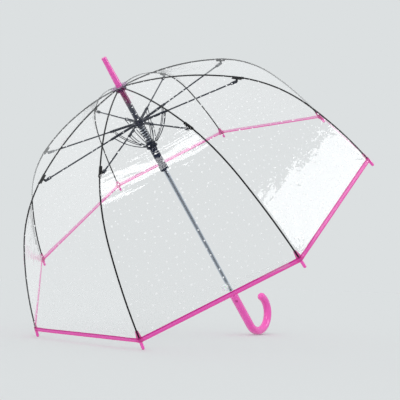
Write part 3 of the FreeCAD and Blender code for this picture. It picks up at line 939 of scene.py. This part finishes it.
def floor_and_backdrop():
    """A matt floor and an even backdrop; gloss sees the studio instead of either."""
    half = FLOOR_SIZE / 2
    corners = [(-half, -half, 0), (half, -half, 0), (half, half, 0), (-half, half, 0)]
    mesh = bpy.data.meshes.new("floor")
    mesh.from_pydata(corners, [], [(0, 1, 2, 3)])
    floor = bpy.data.objects.new("floor", mesh)
    mesh.materials.append(floor_paper(BACKDROP, OVERHEAD))
    bpy.context.scene.collection.objects.link(floor)
    floor.visible_glossy = False
    world = bpy.data.worlds.new("pale_backdrop")
    world.use_nodes = True
    tree = world.node_tree
    backdrop = tree.nodes["Background"]
    backdrop.inputs["Color"].default_value = (*BACKDROP, 1)
    studio = tree.nodes.new("ShaderNodeBackground")
    tree.links.new(studio_colour(tree), studio.inputs["Color"])
    path = tree.nodes.new("ShaderNodeLightPath")
    mixed = tree.nodes.new("ShaderNodeMixShader")
    tree.links.new(path.outputs["Is Glossy Ray"], mixed.inputs[0])
    tree.links.new(backdrop.outputs[0], mixed.inputs[1])
    tree.links.new(studio.outputs[0], mixed.inputs[2])
    tree.links.new(mixed.outputs[0], tree.nodes["World Output"].inputs["Surface"])
    bpy.context.scene.world = world


def direction(azimuth, elevation):
    """A direction by its angle from +X towards +Y and its height, in degrees."""
    turn, rise = math.radians(azimuth), math.radians(elevation)
    return Vector((math.cos(turn) * math.cos(rise), math.sin(turn) * math.cos(rise), math.sin(rise)))


def aimed(obj, location, target):
    obj.location = location
    obj.rotation_euler = (Vector(target) - Vector(location)).to_track_quat("-Z", "Y").to_euler()


def overhead_light():
    """A wide soft light that is even over the whole floor."""
    data = bpy.data.lights.new("overhead", "SUN")
    data.angle = math.radians(OVERHEAD_SPREAD)
    data.energy = OVERHEAD * math.pi / math.cos(math.radians(OVERHEAD_LEAN))
    obj = bpy.data.objects.new("overhead", data)
    bpy.context.scene.collection.objects.link(obj)
    aimed(obj, direction(OVERHEAD_AZIMUTH, 90 - OVERHEAD_LEAN) * 3, (0, 0, 0))
    obj.visible_glossy = False


def softbox(name, location, target, size, radiance):
    """A soft panel seen as a gloss highlight; the floor's light stays even."""
    data = bpy.data.lights.new(name, "AREA")
    data.shape = "RECTANGLE"
    data.size, data.size_y = size
    data.energy = radiance * math.pi * size[0] * size[1]
    obj = bpy.data.objects.new(name, data)
    bpy.context.scene.collection.objects.link(obj)
    aimed(obj, location, target)
    obj.visible_diffuse = False


def softboxes():
    """Two panels beside the camera, which draw the glare on the film."""
    right_gore = film_point(0.50, 3, 0.5)
    front_gore = film_point(0.30, 2, 0.4)
    right_at = right_gore + direction(-55, 26) * SOFTBOX_DISTANCE
    left_at = front_gore + direction(176, 36) * SOFTBOX_DISTANCE
    softbox("right_softbox", right_at, right_gore, size=(1.15, 0.95), radiance=3.9)
    softbox("left_softbox", left_at, front_gore, size=(1.1, 0.68), radiance=4.4)


# ---------------------------------------------------------------- camera

CAMERA_AT = (-1.1586, -1.1194, 0.1178)
CAMERA_YAW = 42.75
CAMERA_PITCH = 6.8
CAMERA_ROLL = 1.85
CAMERA_LENS = 64.5
SENSOR = 36.0


def camera():
    data = bpy.data.cameras.new("camera")
    data.lens = CAMERA_LENS
    data.sensor_width = SENSOR
    data.clip_end = 200.0
    obj = bpy.data.objects.new("camera", data)
    bpy.context.scene.collection.objects.link(obj)
    obj.location = CAMERA_AT
    obj.rotation_mode = "QUATERNION"
    level = direction(CAMERA_YAW, CAMERA_PITCH).to_track_quat("-Z", "Y")
    obj.rotation_quaternion = level @ Quaternion((0, 0, 1), math.radians(CAMERA_ROLL))
    bpy.context.scene.camera = obj


dress_cad_nodes()
canopy()
closing_strap()
rosette()
for rib in RIBS:
    stretcher_rungs(rib)
hub_spring()
button_spring()
floor_and_backdrop()
overhead_light()
softboxes()
camera()
bpy.context.scene.view_settings.view_transform = "Standard"
